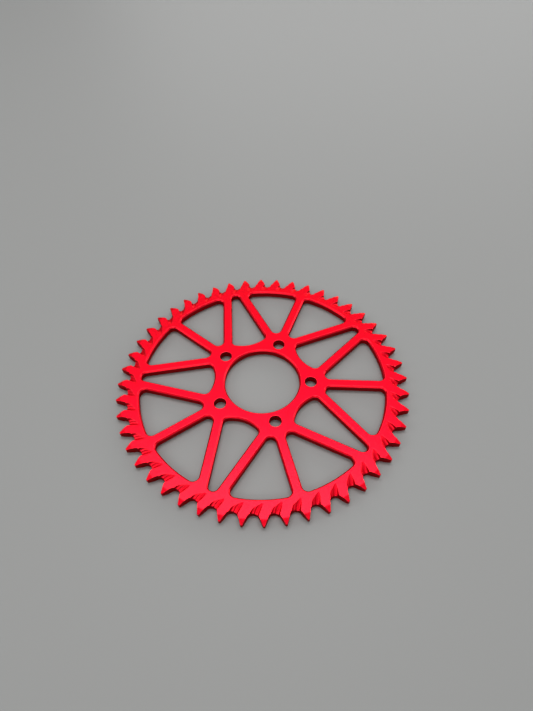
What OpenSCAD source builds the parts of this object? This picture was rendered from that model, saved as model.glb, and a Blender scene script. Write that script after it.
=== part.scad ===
// Rear chain sprocket for a small motorcycle: one machined aluminium plate.
// Lengths are in millimetres and angles in degrees.
// Z is the wheel axis. Z = 0 is the back face, which lies against the wheel's carrier.
// The top face looks along +Z and has the mud-relief grooves.
// A bolt hole and a tooth gap both lie on +X.

/* [Chain] */
// Distance between neighbouring chain pins
chain_pitch = 12.7; // [12.7, 15.875]
// Diameter of the chain's rollers
roller_d = 7.75; // [7.5:0.05:8.6]
// Number of teeth, a multiple of four so that the outline is the same on every side
tooth_count = 48; // [44:4:56]

/* [Teeth] */
// Height of the tooth tips above the pitch circle
tip_height = 3.6; // [3.2:0.1:4]
// Width of a tooth's tip along the rim
tip_w = 1.1; // [0.8:0.1:1.6]
// Thickness of a tooth's tip, between the two bevels
tip_t = 3.5; // [2.8:0.1:4.2]

/* [Plate] */
// Thickness of the plate
plate_t = 5.8; // [5.4:0.1:6.4]
// Chamfer on the edges of the windows and of the centre bore
edge_chamfer = 1.0; // [0.6:0.1:1.2]
// Width of the rim, from the windows to the roots of the teeth
rim_w = 8.2; // [7.6:0.1:9.4]

/* [Hub] */
// Diameter of the centre bore
bore_d = 52; // [50:0.5:53]
// Diameter of the bolt circle
bolt_circle_d = 67.5; // [66.5:0.5:68.5]
// Diameter of a bolt hole
bolt_hole_d = 8.2; // [6.5:0.1:8.6]
// Chamfer on the edges of the bolt holes
bolt_chamfer = 0.3; // [0.1:0.1:0.5]
// Distance from the axis to the hub's edge, midway between two bolt holes
waist_r = 33.4; // [32:0.1:34]
// Radius of the hub's curved edge between two bolt holes
waist_curve_r = 23.7; // [22:0.1:26]

/* [Spokes] */
// Width of a spoke, between the walls of its windows
spoke_w = 6.5; // [6:0.1:7.2]
// Angle between a side spoke and the middle spoke of its bolt hole
side_spoke_angle = 48; // [47:0.5:49]
// Distance from the axis to the centre line of a side spoke
side_spoke_offset = 23.6; // [23.2:0.1:24]
// Radius in the corners of the windows
corner_r = 3.8; // [3:0.1:4]

/* [Grooves] */
// Radius of the round cutter that makes a groove in two passes
groove_cutter_r = 1.9; // [1.7:0.1:2.1]
// Radius of the arc that the cutter swings on, midway between the two passes
groove_swing_r = 15.5; // [15:0.1:16]
// Distance between the two passes, which leaves a low ridge between them
groove_pass_gap = 1.65; // [1.4:0.05:1.8]
// Angle between the plane of that arc and the plate
groove_lean = 38; // [36:1:40]
// Direction in which that plane falls, seen from above and measured from the tooth gap's axis
groove_heading = 32.5; // [31:0.5:34]

/* [Hidden] */

// One bolt hole, one middle spoke, two side spokes and three windows repeat this many times.
pad_count = 5;
pad_step = 360 / pad_count;
tooth_step = 360 / tooth_count;

// Chain geometry: the rollers' centres lie on the pitch circle, and a roller has a little play in its seat.
pitch_r = chain_pitch / (2 * sin(180 / tooth_count));
seat_r = 0.505 * roller_d;
root_r = pitch_r - seat_r;
tip_r = pitch_r + tip_height;
rim_r = root_r - rim_w;

// How far a cutter runs past the surface that it cuts.
overrun = 0.5;
// Largest angle between two points on the corners of a window, and the number of steps on its long arcs.
corner_step = 15;
long_arc_steps = 8;
// Steps round the seat of a roller.
seat_steps = 12;

// Centre of a groove's swing arc, relative to the root of the tooth gap on +X.
groove_centre_out = 1.3;
groove_centre_side = 14.8;
groove_centre_below = 6.75;
// The swing starts above the face, in the rim, and ends outside the root of the gap.
groove_start_angle = 180;
groove_sweep = 66;

// Point at the given distance and angle from a centre.
function polar(centre, r, angle) = centre + r * [cos(angle), sin(angle)];

// Points on an arc, both ends included.
function arc(centre, r, from, to, steps) =
    [for (i = [0 : steps]) polar(centre, r, from + (to - from) * i / steps)];

// A window's outline is a list of arcs, [centre, radius, from, to], joined by straight lines.
// Making every radius larger by the same amount moves the whole outline outwards by that amount.
function arc_steps(a) = a[1] > 2 * corner_r ? long_arc_steps : ceil(abs(a[3] - a[2]) / corner_step);
function outline(arcs, grow) =
    [for (a = arcs) each arc(a[0], a[1] + grow, a[2], a[3], arc_steps(a))];

// Window between a middle spoke, which runs along +X, and the side spoke above it.
function inner_window_arcs() =
    let (
        // The side spoke's normal, and how far the corners' centres are from both spokes.
        normal_angle = side_spoke_angle - 90,
        normal = [cos(normal_angle), sin(normal_angle)],
        side_d = side_spoke_offset + spoke_w / 2 + corner_r,
        low_y = spoke_w / 2 + corner_r,
        rim_d = rim_r - corner_r,
        hub_corner = [(side_d - normal.y * low_y) / normal.x, low_y],
        low_corner = [sqrt(rim_d * rim_d - low_y * low_y), low_y],
        high_angle = normal_angle + acos(side_d / rim_d),
        high_corner = polar([0, 0], rim_d, high_angle),
        low_angle = atan2(low_corner.y, low_corner.x),
        side_wall = normal_angle + 180
    )
    [
        [hub_corner, corner_r, side_wall, 270],
        [low_corner, corner_r, 270, 360 + low_angle],
        [[0, 0], rim_r, low_angle, high_angle],
        [high_corner, corner_r, high_angle, side_wall]
    ];

// Window between two side spokes of neighbouring bolt holes, symmetric about +X.
function outer_window_arcs() =
    let (
        // Half the angle between the two side spokes, and the distance from the axis to their walls.
        half_angle = side_spoke_angle - pad_step / 2,
        wall_d = side_spoke_offset - spoke_w / 2,
        // The round end touches both spokes and reaches the rim's inner radius.
        end_r = (wall_d - rim_r * sin(half_angle)) / (1 - sin(half_angle)),
        end_centre = [rim_r - end_r, 0],
        // The hub's edge, and the corner that touches it and a spoke.
        waist_centre = [waist_r + waist_curve_r, 0],
        corner_d = wall_d - corner_r,
        reach = waist_curve_r - corner_r,
        spoke_normal = 90 + half_angle,
        depth = corner_d - waist_centre.x * sin(half_angle),
        corner_angle = spoke_normal + acos(-depth / reach),
        hub_corner = polar(waist_centre, reach, 360 - corner_angle),
        wall_angle = 90 - half_angle
    )
    [
        [end_centre, end_r, -wall_angle, wall_angle],
        [hub_corner, corner_r, wall_angle, 360 - corner_angle],
        [waist_centre, waist_curve_r, 360 - corner_angle, corner_angle],
        [[hub_corner.x, -hub_corner.y], corner_r, corner_angle, 360 - wall_angle]
    ];

// Cutter for one window: straight walls, with a 45 degree flare at both faces.
module window_cutter(arcs) {
    flare = edge_chamfer + overrun;
    rings = [
        [-overrun, flare],
        [edge_chamfer, 0],
        [plate_t - edge_chamfer, 0],
        [plate_t + overrun, flare]
    ];
    count = len(outline(arcs, 0));
    points = [for (ring = rings) for (p = outline(arcs, ring[1])) [p.x, p.y, ring[0]]];
    walls = [
        for (k = [0 : len(rings) - 2]) for (i = [0 : count - 1])
            let (next = (i + 1) % count)
            [k * count + i, (k + 1) * count + i, (k + 1) * count + next, k * count + next]
    ];
    bottom = [for (i = [0 : count - 1]) i];
    top = [for (i = [count - 1 : -1 : 0]) (len(rings) - 1) * count + i];
    polyhedron(points = points, faces = concat([bottom], walls, [top]));
}

// All fifteen windows.
module windows() {
    for (k = [0 : pad_count - 1]) {
        rotate([0, 0, k * pad_step]) window_cutter(inner_window_arcs());
        rotate([0, 0, k * pad_step]) mirror([0, 1, 0]) window_cutter(inner_window_arcs());
        rotate([0, 0, (k + 0.5) * pad_step]) window_cutter(outer_window_arcs());
    }
}

// The plate before its teeth are cut: a ring with a chamfered bore and a bevelled rim.
module turned_blank() {
    bore_r = bore_d / 2;
    tip_low = (plate_t - tip_t) / 2;
    rotate_extrude($fn = 180)
        polygon([
            [bore_r + edge_chamfer, 0],
            [pitch_r, 0],
            [tip_r, tip_low],
            [tip_r, tip_low + tip_t],
            [pitch_r, plate_t],
            [bore_r + edge_chamfer, plate_t],
            [bore_r, plate_t - edge_chamfer],
            [bore_r, edge_chamfer]
        ]);
}

// Half of the tooth gap on +X, from its root to past the tip of the tooth above it.
// The roller's seat is an arc about the pitch circle, and the flank is its tangent through the tip's corner.
function half_gap() =
    let (
        seat = [pitch_r, 0],
        tip = polar([0, 0], tip_r, tooth_step / 2 - asin(tip_w / 2 / tip_r)),
        to_tip = tip - seat,
        tangent_angle = atan2(to_tip.y, to_tip.x) + acos(seat_r / norm(to_tip)),
        flank_end = tip + overrun * [sin(tangent_angle), -cos(tangent_angle)]
    )
    concat(arc(seat, seat_r, 180, tangent_angle, seat_steps / 2), [flank_end]);

// The toothed outline, all the way through the plate.
module toothed_outline() {
    upper = half_gap();
    count = len(upper);
    gap = concat([for (i = [count - 1 : -1 : 1]) [upper[i].x, -upper[i].y]], upper);
    points = [
        for (k = [0 : tooth_count - 1]) for (p = gap)
            let (a = k * tooth_step)
            [p.x * cos(a) - p.y * sin(a), p.x * sin(a) + p.y * cos(a)]
    ];
    translate([0, 0, -overrun]) linear_extrude(plate_t + 2 * overrun) polygon(points);
}

// The bolt hole on +X, with chamfered edges.
module bolt_hole() {
    hole_r = bolt_hole_d / 2;
    flare_h = bolt_chamfer + overrun;
    translate([bolt_circle_d / 2, 0, 0]) {
        translate([0, 0, -overrun]) cylinder(h = plate_t + 2 * overrun, r = hole_r, $fn = 48);
        translate([0, 0, -overrun]) cylinder(h = flare_h, r1 = hole_r + flare_h, r2 = hole_r, $fn = 48);
        translate([0, 0, plate_t - bolt_chamfer])
            cylinder(h = flare_h, r1 = hole_r, r2 = hole_r + flare_h, $fn = 48);
    }
}

// The mud-relief groove of the tooth gap on +X. A round cutter swings on a leaning arc, so the groove
// is deepest at the root of the gap, curves inwards across the rim and runs out on the top face.
// The inner pass makes the groove's straight edge and the outer pass its curved edge.
module relief_groove() {
    translate([root_r + groove_centre_out, groove_centre_side, plate_t - groove_centre_below])
        rotate([0, groove_lean, groove_heading])
            rotate([0, 0, groove_start_angle])
                for (side = [-1, 1])
                    rotate_extrude(angle = groove_sweep, $fn = 96)
                        translate([groove_swing_r + side * groove_pass_gap / 2, 0])
                            circle(r = groove_cutter_r, $fn = 32);
}

module sprocket() {
    color([0.86, 0.02, 0.07])
        difference() {
            intersection() {
                turned_blank();
                toothed_outline();
            }
            windows();
            for (k = [0 : pad_count - 1]) rotate([0, 0, k * pad_step]) bolt_hole();
            for (k = [0 : tooth_count - 1]) rotate([0, 0, k * tooth_step]) relief_groove();
        }
}

sprocket();
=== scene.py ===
import bpy, math
import numpy as np
from mathutils import Vector, Matrix
from mathutils.geometry import delaunay_2d_cdt


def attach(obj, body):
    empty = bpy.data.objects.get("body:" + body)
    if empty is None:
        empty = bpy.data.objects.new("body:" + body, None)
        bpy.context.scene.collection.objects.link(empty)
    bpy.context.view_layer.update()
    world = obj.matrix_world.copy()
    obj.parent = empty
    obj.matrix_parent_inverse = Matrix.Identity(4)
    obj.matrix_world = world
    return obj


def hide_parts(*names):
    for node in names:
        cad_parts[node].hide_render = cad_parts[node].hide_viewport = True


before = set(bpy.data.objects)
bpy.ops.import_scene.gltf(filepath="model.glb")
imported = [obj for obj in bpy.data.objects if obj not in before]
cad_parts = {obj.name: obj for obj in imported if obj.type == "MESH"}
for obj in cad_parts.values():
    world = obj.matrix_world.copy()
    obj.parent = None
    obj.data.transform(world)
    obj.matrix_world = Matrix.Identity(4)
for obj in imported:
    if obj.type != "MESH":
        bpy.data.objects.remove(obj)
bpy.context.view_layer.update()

# ---------------------------------------------------------------- sizes, in millimetres and degrees
PITCH, ROLLER, TEETH = 12.7, 7.75, 48
SEAT_RATIO = 0.505        # a seat's radius over the roller's diameter
TIP_HEIGHT, TIP_W, TIP_T = 3.6, 1.1, 3.5
PLATE_T, CHAMFER, RIM_W = 5.8, 1.0, 8.2
BORE_R, BOLT_CIRCLE_R, HOLE_R, HOLE_CHAMFER = 26.0, 33.75, 4.1, 0.3
WAIST_R, WAIST_CURVE_R = 33.4, 23.7
SPOKE_W, SIDE_ANGLE, SIDE_OFFSET, CORNER_R = 6.5, 48.0, 23.6, 3.8
GROOVE_R, SWING_R, PASS_GAP, GROOVE_LEAN, GROOVE_HEADING = 1.9, 15.5, 1.65, 38.0, 32.5
GROOVE_OUT, GROOVE_SIDE, GROOVE_BELOW = 1.3, 14.8, 6.75
SWING_START, SWING_END = 180.0, 246.0
PADS = 5
PAD_STEP, TOOTH_STEP = 360 / PADS, 360 / TEETH

PITCH_R = PITCH / (2 * math.sin(math.radians(180 / TEETH)))
SEAT_R = SEAT_RATIO * ROLLER
ROOT_R = PITCH_R - SEAT_R
TIP_R = PITCH_R + TIP_HEIGHT
RIM_R = ROOT_R - RIM_W
BEVEL_SLOPE = (PLATE_T - TIP_T) / 2 / TIP_HEIGHT

# Every sharp edge is broken by a small facet that reaches this far to each side of it.
BREAK = 0.13
MM = 0.001

# ---------------------------------------------------------------- how finely the mesh follows the shape
TIP_CORNER_CUT = 0.03     # how much of the corner the inner line cuts off at a tooth's tip
FLANK_STOPS = (0.3, 0.6, 0.85)      # points on a flank, as fractions of its length
BEVEL_LINE_HALF = 3.0     # half the length of the line where a tooth's bevel starts
GROOVE_REACH = 6          # how far outside the roots the groove's lines are still kept
GROOVE_LEVELS = (BREAK, 0.4, 0.8, 1.2, 1.6, 2.0, 2.4)       # depths of the contours in a groove
SCAN_FROM, SCAN_TO, SCAN_STEP = PLATE_T - 4, PLATE_T + 0.4, 0.06      # heights searched for a groove's floor
NO_GROOVE = PLATE_T + 1.0           # a height that stands for no cut
CONTOUR_SLACK = 0.02      # a contour point this little above the other pass's floor still counts
SLOPE_STEP = 0.004        # distance over which a surface's slope is measured
SLIVER = 1e-9             # triangles are dropped if twice their area is less than this
EDGE_FACET_ANGLE = 20           # a facet with a corner normal further off than this is a broken edge


def sin(a): return math.sin(math.radians(a))
def cos(a): return math.cos(math.radians(a))
def acos(v): return math.degrees(math.acos(v))
def asin(v): return math.degrees(math.asin(v))


def arc(centre, r, start, end, steps):
    """Points on an arc, both ends included."""
    a = np.radians(np.linspace(start, end, steps + 1))
    return np.stack([centre[0] + r * np.cos(a), centre[1] + r * np.sin(a)], 1)


def turned(points, angle):
    c, s = cos(angle), sin(angle)
    return points @ np.array([[c, s], [-s, c]])


# ---------------------------------------------------------------- windows
def inner_window():
    """Arcs (centre, radius, from, to, steps) of the window above the middle spoke on +X."""
    na = SIDE_ANGLE - 90
    nx, ny = cos(na), sin(na)
    side_d = SIDE_OFFSET + SPOKE_W / 2 + CORNER_R
    low_y = SPOKE_W / 2 + CORNER_R
    rim_d = RIM_R - CORNER_R
    hub = ((side_d - ny * low_y) / nx, low_y)
    low = (math.sqrt(rim_d ** 2 - low_y ** 2), low_y)
    high_a = na + acos(side_d / rim_d)
    high = (rim_d * cos(high_a), rim_d * sin(high_a))
    low_a = math.degrees(math.atan2(low[1], low[0]))
    return [
        (hub, CORNER_R, na + 180, 270, 16),
        (low, CORNER_R, 270, 360 + low_a, 12),
        ((0, 0), RIM_R, low_a, high_a, 14),
        (high, CORNER_R, high_a, na + 180, 18),
    ]


def outer_window():
    """Arcs of the window between two side spokes, symmetric about +X."""
    half = SIDE_ANGLE - PAD_STEP / 2
    wall_d = SIDE_OFFSET - SPOKE_W / 2
    end_r = (wall_d - RIM_R * sin(half)) / (1 - sin(half))
    waist = WAIST_R + WAIST_CURVE_R
    reach = WAIST_CURVE_R - CORNER_R
    depth = wall_d - CORNER_R - waist * sin(half)
    ca = 90 + half + acos(-depth / reach)
    hx, hy = waist + reach * cos(ca), -reach * sin(ca)
    wall_a = 90 - half
    return [
        ((RIM_R - end_r, 0), end_r, -wall_a, wall_a, 20),
        ((hx, hy), CORNER_R, wall_a, 360 - ca, 14),
        ((waist, 0), WAIST_CURVE_R, 360 - ca, ca, 16),
        ((hx, -hy), CORNER_R, ca, 360 - wall_a, 14),
    ]


def window_outline(arcs, grow):
    return np.concatenate([arc(c, r + grow, a, b, n) for c, r, a, b, n in arcs])


# ---------------------------------------------------------------- tooth gap on +X
def gap_outline(inset=0.0):
    """The gap from one tooth's middle to the next tooth's, moved into the metal by inset."""
    corner_a = TOOTH_STEP / 2 - asin(TIP_W / 2 / TIP_R)
    tip = TIP_R * np.array([cos(corner_a), sin(corner_a)])
    seat = np.array([PITCH_R, 0.0])
    to_tip = tip - seat
    ta = math.degrees(math.atan2(to_tip[1], to_tip[0])) + acos(SEAT_R / np.linalg.norm(to_tip))
    r = SEAT_R + inset
    start = seat + r * np.array([cos(ta), sin(ta)])
    along = np.array([sin(ta), -cos(ta)])
    # where the moved flank meets the moved tip circle
    top_r = TIP_R - inset
    b, c = start @ along, start @ start - top_r ** 2
    end = start + (-b + math.sqrt(b * b - c)) * along
    end_a = math.degrees(math.atan2(end[1], end[0]))
    cut = BREAK if inset == 0 else TIP_CORNER_CUT
    near = end - cut * along
    on_tip = arc((0, 0), top_r, end_a + math.degrees(cut / top_r), TOOTH_STEP / 2, 2)
    flank = [start + (near - start) * t for t in FLANK_STOPS]
    half = np.concatenate([arc(seat, r, 180, ta, 9), flank, [near], on_tip])
    return np.concatenate([half[:0:-1] * [1, -1], half])


# The groove's round cutter swings on an arc in a leaning plane.
def groove_frame():
    cl, sl, ch, sh = cos(GROOVE_LEAN), sin(GROOVE_LEAN), cos(GROOVE_HEADING), sin(GROOVE_HEADING)
    lean = np.array([[cl, 0, sl], [0, 1, 0], [-sl, 0, cl]])
    head = np.array([[ch, -sh, 0], [sh, ch, 0], [0, 0, 1]])
    return head @ lean, np.array([ROOT_R + GROOVE_OUT, GROOVE_SIDE, PLATE_T - GROOVE_BELOW])


GROOVE_AXES, GROOVE_CENTRE = groove_frame()
PASSES = (SWING_R - PASS_GAP / 2, SWING_R + PASS_GAP / 2)


def groove_contour(swing, level, steps):
    """One pass's section at a height: up one side, round the inner end and down the other side."""
    cl, sl = cos(GROOVE_LEAN), sin(GROOVE_LEAN)

    def sides(u):
        a, b = -math.cos(u) * sl, cl
        k = (level - GROOVE_CENTRE[2] + swing * math.cos(u) * sl) / (GROOVE_R * math.hypot(a, b))
        return math.atan2(b, a), k

    low, high = math.radians(SWING_START), math.radians(SWING_END)
    for _ in range(50):
        mid = (low + high) / 2
        low, high = (mid, high) if sides(mid)[1] < -1 else (low, mid)
    first, last = high, math.radians(SWING_END)
    left, right = [], []
    for i in range(steps + 1):
        u = first + (last - first) * (i / steps) ** 2
        mid, k = sides(u)
        w = math.acos(max(-1, min(1, k)))
        for side, v in ((left, mid + w), (right, mid - w)):
            side.append(groove_point(u, swing + GROOVE_R * math.cos(v), GROOVE_R * math.sin(v))[:2])
    return np.array(left[::-1] + right[1:])


def groove_point(u, ring, height):
    return GROOVE_AXES @ [ring * math.cos(u), ring * math.sin(u), height] + GROOVE_CENTRE


def ridge_line(offset, steps):
    """The ridge between the two passes, or a line beside it on one pass's floor."""
    drop = -math.sqrt(GROOVE_R ** 2 - (PASS_GAP / 2 - abs(offset)) ** 2)
    angles = np.radians(np.linspace(SWING_START, SWING_END, steps))
    pts = np.array([groove_point(u, SWING_R + offset, drop) for u in angles])
    return pts[pts[:, 2] < PLATE_T - BREAK][:, :2]


def groove_floor(x, y):
    """Height of the cutter's underside above the back face, or NO_GROOVE where it cuts nothing."""
    base = np.stack([x, y, np.zeros_like(x)], 1) - GROOVE_CENTRE
    local = base @ GROOVE_AXES
    rise = GROOVE_AXES[2]
    best = np.full(len(x), NO_GROOVE)
    for swing in PASSES:
        def outside(z):
            p = local + np.outer(z, rise)
            return (np.hypot(p[:, 0], p[:, 1]) - swing) ** 2 + p[:, 2] ** 2 - GROOVE_R ** 2, p

        result = np.full(len(x), NO_GROOVE)
        open_ = np.ones(len(x), bool)
        for z in np.arange(SCAN_FROM, SCAN_TO, SCAN_STEP):
            g, p = outside(np.full(len(x), z))
            u = np.degrees(np.arctan2(p[:, 1], p[:, 0])) % 360
            hit = open_ & (g < 0) & (u > SWING_START) & (u < SWING_END)
            result[hit] = z
            open_ &= ~hit
        lo, hi = result - SCAN_STEP, result.copy()
        for _ in range(18):
            mid = (lo + hi) / 2
            g, _p = outside(mid)
            hi, lo = np.where(g < 0, mid, hi), np.where(g < 0, lo, mid)
        best = np.minimum(best, np.where(open_, result, hi))
    return best


def plate_surface(x, y):
    """Height of the toothed rim's top face: plate, tip bevel and the nearest groove."""
    r = np.hypot(x, y)
    bevel = PLATE_T - (r - PITCH_R) * BEVEL_SLOPE
    a = np.degrees(np.arctan2(y, x))
    a -= TOOTH_STEP * np.round(a / TOOTH_STEP)
    fx, fy = r * np.cos(np.radians(a)), r * np.sin(np.radians(a))
    groove = np.full(len(x), NO_GROOVE)
    near = r > RIM_R + CHAMFER + 0.2      # no groove reaches further in
    groove[near] = groove_floor(fx[near], fy[near])
    return np.minimum(np.minimum(PLATE_T, bevel), groove)


def back_surface(x, y):
    return np.maximum(0, (np.hypot(x, y) - PITCH_R) * BEVEL_SLOPE)


def inside(points, polygon):
    """Which points lie in a closed polygon."""
    result = np.zeros(len(points), bool)
    x, y = points[:, 0], points[:, 1]
    for (ax, ay), (bx, by) in zip(polygon, np.roll(polygon, -1, 0)):
        cross = (ay > y) != (by > y)
        with np.errstate(divide="ignore", invalid="ignore"):
            result ^= cross & (x < ax + (y - ay) * (bx - ax) / (by - ay))
    return result


class Plan:
    """Lines in plan that the mesh follows. Some carry the heights of the top and back faces along them."""

    def __init__(self):
        self.points, self.edges, self.known = [], [], {}
        self.count = 0

    def line(self, pts, closed=False, depth=None, tilt=0.0):
        """Adds a line. With a depth below both faces it edges an opening on its left, and tilt is the
        sine of the surface's slope into the opening."""
        start = self.count
        n = len(pts)
        self.points.append(pts)
        for i in range(n if closed else n - 1):
            self.edges.append((start + i, start + (i + 1) % n))
        if depth is not None:
            along = np.roll(pts, -1, 0) - np.roll(pts, 1, 0)
            along /= np.linalg.norm(along, axis=1)[:, None]
            for i in range(n):
                self.known[start + i] = (depth, -tilt * along[i][1], tilt * along[i][0])
        self.count += n


def circle(r, steps, centre=(0, 0)):
    return arc(centre, r, 0, 360 - 360 / steps, steps - 1)


def make_plan():
    plan = Plan()
    # windows, bore and bolt holes: wall, chamfer and face, with a facet at each edge
    slope = math.sqrt(0.5)
    rings = [
        (0.0, CHAMFER, slope), (BREAK, CHAMFER - BREAK, slope),
        (CHAMFER - BREAK, BREAK, slope), (CHAMFER + BREAK, 0.0, 0.0),
    ]
    for grow, depth, tilt in rings:
        for k in range(PADS):
            inner, outer = (window_outline(w, grow) for w in (inner_window(), outer_window()))
            plan.line(turned(inner, k * PAD_STEP), True, depth, tilt)
            plan.line(turned(inner * [1, -1], k * PAD_STEP)[::-1], True, depth, tilt)
            plan.line(turned(outer, (k + 0.5) * PAD_STEP), True, depth, tilt)
        plan.line(circle(BORE_R + grow, 180), True, depth, tilt)
    for k in range(PADS):
        centre = BOLT_CIRCLE_R * np.array([cos(k * PAD_STEP), sin(k * PAD_STEP)])
        for grow, depth, tilt in ((0.0, HOLE_CHAMFER, slope), (HOLE_CHAMFER, 0.0, 0.0)):
            plan.line(circle(HOLE_R + grow, 48, centre), True, depth, tilt)

    # teeth and grooves
    outer = np.concatenate([turned(gap_outline(0.0)[:-1], k * TOOTH_STEP) for k in range(TEETH)])
    edge = np.concatenate([turned(gap_outline(BREAK)[:-1], k * TOOTH_STEP) for k in range(TEETH)])
    plan.line(outer, closed=True)
    plan.line(edge, closed=True)
    for r in (PITCH_R - BREAK, PITCH_R + BREAK):
        a = asin(BEVEL_LINE_HALF / r)
        for k in range(TEETH):
            plan.line(turned(arc((0, 0), r, TOOTH_STEP / 2 - a, TOOTH_STEP / 2 + a, 6), k * TOOTH_STEP))
    lines = []
    for swing in PASSES:
        crest = groove_contour(swing, PLATE_T, 20)
        side = crest - np.roll(crest, 1, 0)
        side[0] = side[1]
        side = side + np.roll(side, -1, 0)
        side[-1] = side[-2]
        side /= np.linalg.norm(side, axis=1)[:, None]
        rim_line = crest + BREAK * side @ np.array([[0, -1], [1, 0]])
        # the line outside the other pass is the groove's edge, and the rest is inside that pass
        lines.append(rim_line[groove_floor(rim_line[:, 0], rim_line[:, 1]) > PLATE_T])
        for d in GROOVE_LEVELS:
            level = groove_contour(swing, PLATE_T - d, 20)
            own = groove_floor(level[:, 0], level[:, 1]) > PLATE_T - d - CONTOUR_SLACK
            lines.append(level[own])
    lines += [ridge_line(offset, 24) for offset in (-BREAK, BREAK)]
    for k in range(TEETH):
        for pts in lines:
            part = pts[np.hypot(pts[:, 0], pts[:, 1]) < ROOT_R + GROOVE_REACH]
            plan.line(turned(part, k * TOOTH_STEP))
    return plan


def in_metal(p):
    r = np.hypot(p[:, 0], p[:, 1])
    metal = (r > BORE_R) & (r < TIP_R + 0.01)
    a = np.degrees(np.arctan2(p[:, 1], p[:, 0]))

    def folded(step, shift=0.0):
        b = a - shift - step * np.round((a - shift) / step)
        return np.stack([r * np.cos(np.radians(b)), r * np.sin(np.radians(b))], 1)

    gap = gap_outline(0.0)
    far_x = TIP_R * 1.1
    far_y = far_x * math.tan(math.radians(TOOTH_STEP / 2))
    far = np.array([[far_x, far_y], [far_x, -far_y]])
    metal &= ~inside(folded(TOOTH_STEP), np.concatenate([gap, far]))
    pad = folded(PAD_STEP)
    up = np.column_stack([pad[:, 0], np.abs(pad[:, 1])])
    metal &= ~inside(up, window_outline(inner_window(), 0))
    metal &= ~inside(folded(PAD_STEP, PAD_STEP / 2), window_outline(outer_window(), 0))
    metal &= np.hypot(pad[:, 0] - BOLT_CIRCLE_R, pad[:, 1]) > HOLE_R
    return metal


def make_sprocket(material):
    plan = make_plan()
    flat = np.concatenate(plan.points)
    out = delaunay_2d_cdt([Vector(p) for p in flat.tolist()], plan.edges, [], 0, 1e-5)
    verts, _edges, faces, origin = out[0], out[1], out[2], out[3]
    xy = np.array([v[:] for v in verts])
    tri = np.array(faces)
    tri = tri[in_metal(xy[tri].mean(1))]
    used = np.unique(tri)
    renumber = np.full(len(xy), -1)
    renumber[used] = np.arange(len(used))
    xy, tri = xy[used], renumber[tri]
    origin = [origin[i] for i in used]
    a, b, c = xy[tri[:, 0]], xy[tri[:, 1]], xy[tri[:, 2]]
    area = (b[:, 0] - a[:, 0]) * (c[:, 1] - a[:, 1]) - (b[:, 1] - a[:, 1]) * (c[:, 0] - a[:, 0])
    tri[area < 0] = tri[area < 0][:, ::-1]
    tri = tri[np.abs(area) > SLIVER]

    x, y, h = xy[:, 0], xy[:, 1], SLOPE_STEP
    top, back = plate_surface(x, y), back_surface(x, y)
    top_normal = np.stack([plate_surface(x - h, y) - plate_surface(x + h, y),
                           plate_surface(x, y - h) - plate_surface(x, y + h), np.full(len(x), 2 * h)], 1)
    back_normal = np.stack([back_surface(x + h, y) - back_surface(x - h, y),
                            back_surface(x, y + h) - back_surface(x, y - h), np.full(len(x), -2 * h)], 1)
    for i, old in enumerate(origin):
        for o in old:
            if o in plan.known:
                depth, nx, ny = plan.known[o]
                nz = math.sqrt(1 - nx * nx - ny * ny)
                top[i], back[i] = PLATE_T - depth, depth
                top_normal[i], back_normal[i] = (nx, ny, nz), (nx, ny, -nz)

    # directed edges that only one triangle has are the walls
    pairs = {}
    for t in tri.tolist():
        for i in range(3):
            pairs[(t[i], t[(i + 1) % 3])] = True
    rim = [e for e in pairs if (e[1], e[0]) not in pairs]
    on_wall = np.zeros(len(xy), bool)
    wall_normal = np.zeros((len(xy), 2))
    for p, q in rim:
        d = xy[q] - xy[p]
        n = np.array([d[1], -d[0]])          # to the right of the edge, out of the metal
        wall_normal[p] += n
        wall_normal[q] += n
        on_wall[p] = on_wall[q] = True
    wall_normal[on_wall] /= np.linalg.norm(wall_normal[on_wall], axis=1)[:, None] + 1e-12
    top[on_wall] -= BREAK
    back[on_wall] += BREAK
    for normal in (top_normal, back_normal):
        normal[on_wall] = np.column_stack([wall_normal[on_wall], np.zeros(on_wall.sum())])
        normal /= np.linalg.norm(normal, axis=1)[:, None]

    n = len(xy)
    co = np.concatenate([np.column_stack([xy, top]), np.column_stack([xy, back])]) * MM
    polys = tri.tolist() + (tri[:, ::-1] + n).tolist() + [(q, p, p + n, q + n) for p, q in rim]
    mesh = bpy.data.meshes.new("sprocket_plate")
    mesh.from_pydata(co.tolist(), [], polys)
    normals = np.concatenate([top_normal, back_normal])
    mesh.shade_smooth()
    mesh.normals_split_custom_set_from_vertices(normals.tolist())
    # a broken edge is a facet that leans well away from the normal at one of its corners
    edge_facets = mesh.attributes.new("edge", "FLOAT", "FACE")
    face_n = np.array([p.normal[:] for p in mesh.polygons])
    least = [min(normals[list(p.vertices)] @ face_n[i]) for i, p in enumerate(mesh.polygons)]
    edge_facets.data.foreach_set("value", (np.array(least) < cos(EDGE_FACET_ANGLE)).astype(np.float32))
    mesh.materials.append(material)
    o = bpy.data.objects.new("sprocket_plate", mesh)
    bpy.context.collection.objects.link(o)
    return o


# ---------------------------------------------------------------- looks
RED = (0.86, 0.0, 0.016)
DULL_PART = 0.62          # the dullest blotches, as a fraction of RED
# painted shade colour, mixed onto steep faces (walls and chamfers)
PAINTED_WALL_SHADE = (0.36, 0.0, 0.004)
# lighter colour for broken edges: worn anodising and a painted edge highlight
EDGE_RED = (1.0, 0.05, 0.08)
EDGE_WEAR_GLINT = 0.5
# Painted shade: a face is darker the steeper it is, from a normal whose Z is DARK_FROM, by DARK_GAIN per
# unit of Z.
DARK_FROM, DARK_GAIN = 0.78, 2.4
ROUGH, ROUGH_SPREAD, METALLIC = 0.4, 0.22, 0.9
COAT_WEIGHT, COAT_ROUGH, COAT_IOR = 0.12, 0.24, 1.5
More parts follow.
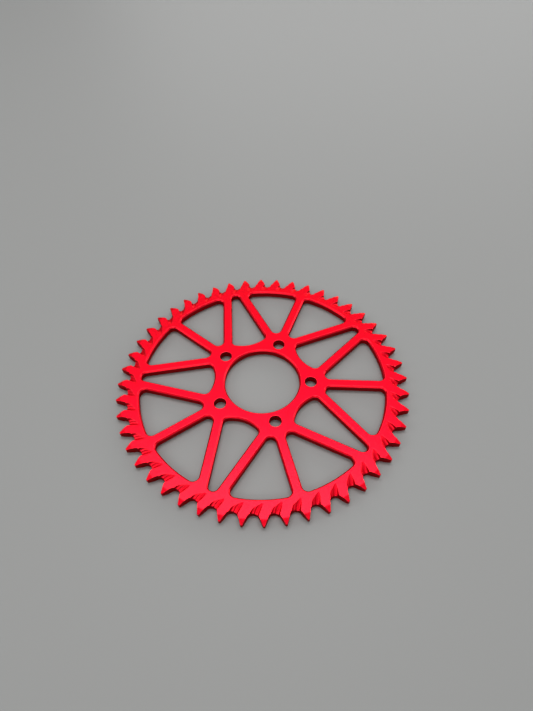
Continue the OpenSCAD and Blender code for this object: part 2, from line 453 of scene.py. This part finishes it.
# noise scales, per metre
GRAIN, MOTTLE, CLOUD, WEAR_GLINT_NOISE = 5200, 1100, 45, 700
BUMP_STRENGTH, BUMP_DISTANCE, MOTTLE_HEIGHT = 1.0, 0.00002, 1.6
FLOOR = 0.185
DOME_STRENGTH = 0.82
DOME_STOPS = [(0.0, 0.2), (0.15, 0.5), (0.4, 0.95), (1.0, 1.0)]     # upward part of the direction, grey
# name, place in metres, width, height, watts
LIGHTS = [
    ("overhead", (0.0, 0.33, 1.3), 1.1, 0.35, 11),
    ("window", (0.3, 2.2, 0.75), 2.2, 0.5, 12),
    ("front", (0.0, -1.1, 0.95), 0.9, 0.35, 4),
    ("left", (-1.3, -0.3, 0.8), 0.9, 0.5, 5),
    ("side", (1.7, 0.75, 0.42), 1.3, 0.45, 12),
]


# ---------------------------------------------------------------- camera
CAM_AZIMUTH = 5.01        # degrees, about the sprocket's axis
CAM_ELEVATION = 55.995
CAM_DISTANCE = 0.34488    # metres from the origin
CAM_YAW, CAM_PITCH, CAM_ROLL = 0.626, 3.399, -1.449
CAM_LENS, CAM_SENSOR = 24.75, 36    # millimetres, the sensor along the picture's longer side


def make_camera():
    """A camera that looks at the sprocket from the front and above, aimed a little past it."""
    a, e = math.radians(CAM_AZIMUTH), math.radians(CAM_ELEVATION)
    place = CAM_DISTANCE * Vector((math.sin(a) * math.cos(e), -math.cos(a) * math.cos(e), math.sin(e)))
    ahead = -place.normalized()
    right = Vector((math.cos(a), math.sin(a), 0))
    up = right.cross(ahead)
    yaw, pitch, roll = (math.radians(v) for v in (CAM_YAW, CAM_PITCH, CAM_ROLL))
    level = ahead * math.cos(yaw) + right * math.sin(yaw)
    aim = level * math.cos(pitch) + up * math.sin(pitch)
    side = aim.cross(Vector((0, 0, 1))).normalized()
    top = side.cross(aim)
    x = side * math.cos(roll) + top * math.sin(roll)
    y = -side * math.sin(roll) + top * math.cos(roll)
    data = bpy.data.cameras.new("camera")
    data.lens = CAM_LENS
    data.sensor_width = CAM_SENSOR
    data.sensor_fit = "AUTO"
    data.clip_start, data.clip_end = 0.01, 20
    cam = bpy.data.objects.new("camera", data)
    rot = Matrix((x, y, -aim)).transposed()
    cam.matrix_world = Matrix.Translation(place) @ rot.to_4x4()
    bpy.context.collection.objects.link(cam)
    bpy.context.scene.camera = cam


def area_light(name, place, size, size_y, power):
    """A white soft box that faces the origin."""
    data = bpy.data.lights.new(name, "AREA")
    data.shape = "RECTANGLE"
    data.size, data.size_y = size, size_y
    data.energy = power
    o = bpy.data.objects.new(name, data)
    o.location = place
    o.rotation_euler = (-Vector(place)).to_track_quat("-Z", "Y").to_euler()
    bpy.context.collection.objects.link(o)


def ramp(nodes, stops):
    """An eased colour ramp of grey values: (position, value) pairs."""
    r = nodes.new("ShaderNodeValToRGB")
    r.color_ramp.interpolation = "EASE"
    while len(r.color_ramp.elements) < len(stops):
        r.color_ramp.elements.new(0.5)
    for e, (at, v) in zip(r.color_ramp.elements, stops):
        e.position = at
        e.color = (v, v, v, 1)
    return r


def make_world():
    """A soft dome: bright overhead, dim towards the horizon."""
    world = bpy.data.worlds.new("studio")
    bpy.context.scene.world = world
    world.use_nodes = True
    nodes, links = world.node_tree.nodes, world.node_tree.links
    back = nodes["Background"]
    coords = nodes.new("ShaderNodeTexCoord")
    split = nodes.new("ShaderNodeSeparateXYZ")
    dome = ramp(nodes, DOME_STOPS)
    links.new(coords.outputs["Generated"], split.inputs[0])
    links.new(split.outputs["Z"], dome.inputs[0])
    links.new(dome.outputs[0], back.inputs["Color"])
    back.inputs["Strength"].default_value = DOME_STRENGTH


def make_floor():
    m = bpy.data.materials.new("floor")
    m.use_nodes = True
    b = m.node_tree.nodes["Principled BSDF"]
    b.inputs["Base Color"].default_value = (FLOOR, FLOOR * 1.01, FLOOR * 0.99, 1)
    b.inputs["Roughness"].default_value = 0.55
    b.inputs["Specular IOR Level"].default_value = 0.3
    bpy.ops.mesh.primitive_plane_add(size=8, location=(0, 0, 0))
    o = bpy.context.object
    o.name = "floor"
    o.data.materials.append(m)


def anodised():
    """Satin anodised aluminium: a dyed metal with a clear, slightly sharper skin."""
    m = bpy.data.materials.new("anodised_red")
    m.use_nodes = True
    nodes, links = m.node_tree.nodes, m.node_tree.links
    b = nodes["Principled BSDF"]
    b.inputs["Coat Weight"].default_value = COAT_WEIGHT
    b.inputs["Coat Roughness"].default_value = COAT_ROUGH
    b.inputs["Coat IOR"].default_value = COAT_IOR
    b.inputs["Specular IOR Level"].default_value = 0.0
    b.inputs["Specular Tint"].default_value = (1.0, 0.05, 0.12, 1)
    coords = nodes.new("ShaderNodeTexCoord")

    def noise(scale, detail):
        n = nodes.new("ShaderNodeTexNoise")
        n.inputs["Scale"].default_value = scale
        n.inputs["Detail"].default_value = detail
        links.new(coords.outputs["Object"], n.inputs["Vector"])
        return n.outputs["Fac"]

    def math_node(op, x, y, clamp=False):
        n = nodes.new("ShaderNodeMath")
        n.operation = op
        n.use_clamp = clamp
        for i, v in enumerate((x, y)):
            if hasattr(v, "default_value"):
                links.new(v, n.inputs[i])
            else:
                n.inputs[i].default_value = v
        return n.outputs[0]

    def mix(fac, x, y):
        n = nodes.new("ShaderNodeMix")
        n.data_type = "RGBA"
        for socket, v in ((n.inputs[0], fac), (n.inputs[6], x), (n.inputs[7], y)):
            if hasattr(v, "default_value"):
                links.new(v, socket)
            else:
                socket.default_value = v
        return n.outputs[2]

    grain, mottle, cloud = noise(GRAIN, 2), noise(MOTTLE, 3), noise(CLOUD, 2)
    # dyed colour, a little uneven over the plate
    blotch = math_node("MULTIPLY", math_node("SUBTRACT", mottle, 0.27), 2.2, True)
    uneven = math_node("ADD", math_node("MULTIPLY", blotch, 0.6), math_node("MULTIPLY", cloud, 0.4))
    colour = mix(uneven, (*[c * DULL_PART for c in RED], 1), (*RED, 1))
    # painted shade on chamfers and, more so, on upright walls: darker by how steep the face is
    geometry = nodes.new("ShaderNodeNewGeometry")
    split = nodes.new("ShaderNodeSeparateXYZ")
    links.new(geometry.outputs["Normal"], split.inputs[0])
    level = math_node("ABSOLUTE", split.outputs["Z"], 0)
    upright = math_node("MULTIPLY", math_node("SUBTRACT", DARK_FROM, level), DARK_GAIN, True)
    colour = mix(upright, colour, (*PAINTED_WALL_SHADE, 1))
    # lighter colour on the broken edges: thin anodising there, and partly a painted edge highlight
    edge = nodes.new("ShaderNodeAttribute")
    edge.attribute_name = "edge"
    worn_and_glint = math_node("MULTIPLY", edge.outputs["Fac"], math_node("MULTIPLY", noise(WEAR_GLINT_NOISE, 3), EDGE_WEAR_GLINT), True)
    colour = mix(worn_and_glint, colour, (*EDGE_RED, 1))
    links.new(colour, b.inputs["Base Color"])
    links.new(math_node("ADD", METALLIC, upright, True), b.inputs["Metallic"])
    uneven_rough = math_node("MULTIPLY", math_node("SUBTRACT", mottle, 0.5), ROUGH_SPREAD)
    links.new(math_node("ADD", ROUGH, uneven_rough), b.inputs["Roughness"])
    bump = nodes.new("ShaderNodeBump")
    bump.inputs["Strength"].default_value = BUMP_STRENGTH
    bump.inputs["Distance"].default_value = BUMP_DISTANCE
    height = math_node("ADD", grain, math_node("MULTIPLY", mottle, MOTTLE_HEIGHT))
    links.new(height, bump.inputs["Height"])
    links.new(bump.outputs[0], b.inputs["Normal"])
    links.new(bump.outputs[0], b.inputs["Coat Normal"])
    return m


make_camera()
make_world()
make_floor()
for light in LIGHTS:
    area_light(*light)
bpy.context.scene.view_settings.view_transform = "Standard"

metal = anodised()
sprocket = make_sprocket(metal)
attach(sprocket, "root")
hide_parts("sprocket")
